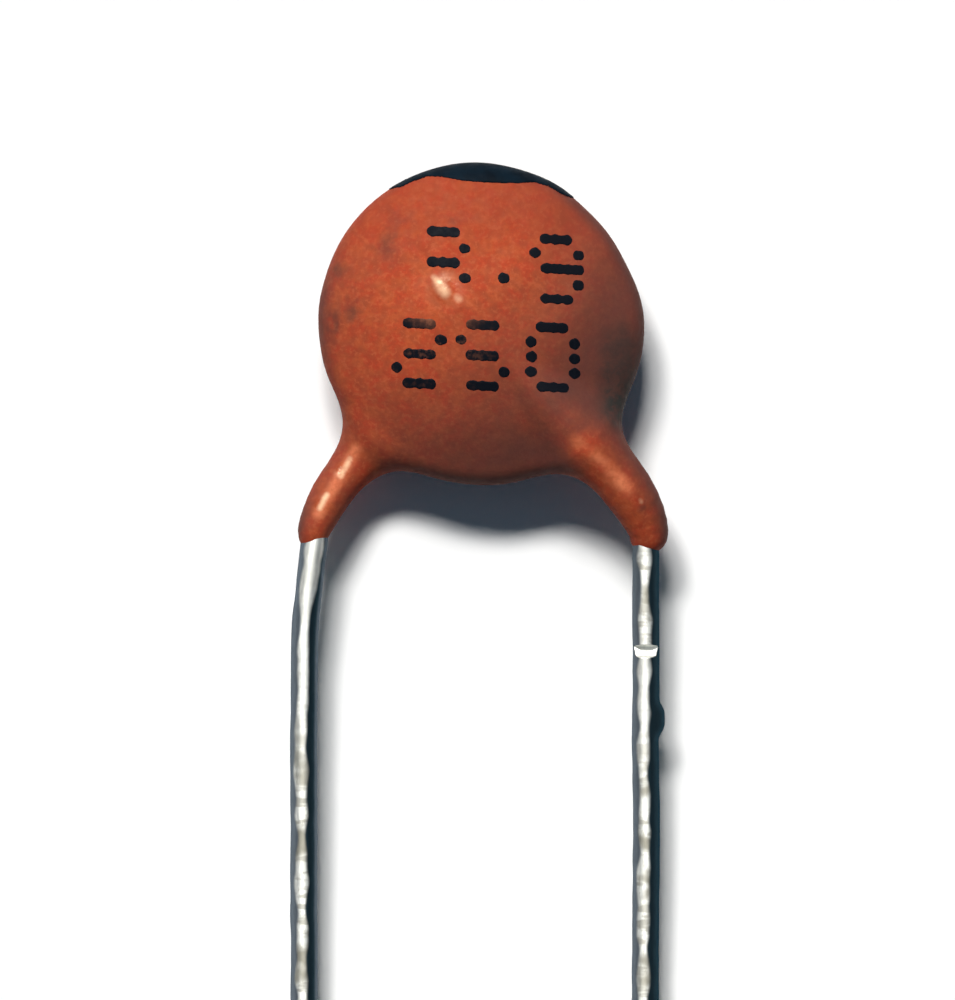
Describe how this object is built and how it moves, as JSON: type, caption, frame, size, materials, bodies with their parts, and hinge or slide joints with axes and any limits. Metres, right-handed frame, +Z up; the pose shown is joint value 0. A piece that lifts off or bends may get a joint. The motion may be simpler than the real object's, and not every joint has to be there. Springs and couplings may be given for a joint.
{
  "type": "ceramic disc capacitor",
  "caption": "Round ceramic capacitor with a dipped terracotta coating, a black-painted tip and long tinned wire leads for board mounting.",
  "frame": {"origin": "on the table under the lying part: the middle of its length and midway between its legs", "axes": "+Z up, out of the front of the disc; +Y from the legs' cut ends to the top of the disc; +X to the right as seen from the front"},
  "size_m": [0.0069, 0.0252, 0.0022],
  "materials": {
    "coat": "semi-gloss dipped phenolic, terracotta, slightly mottled",
    "black_paint": "black paint, semi-gloss",
    "ceramic": "fired ceramic, matt",
    "silvering": "fired silver, satin",
    "solder": "tin solder, satin",
    "tinned_wire": "tinned wire, bright with a wavy dipped surface"
  },
  "bodies": {
    "root": {"coating": "coat", "black_tip": "black_paint", "ceramic_disc": "ceramic", "front_electrode": "silvering", "rear_electrode": "silvering", "front_solder": "solder", "rear_solder": "solder", "front_lead": "tinned_wire", "rear_lead": "tinned_wire"}
  },
  "joints": []
}
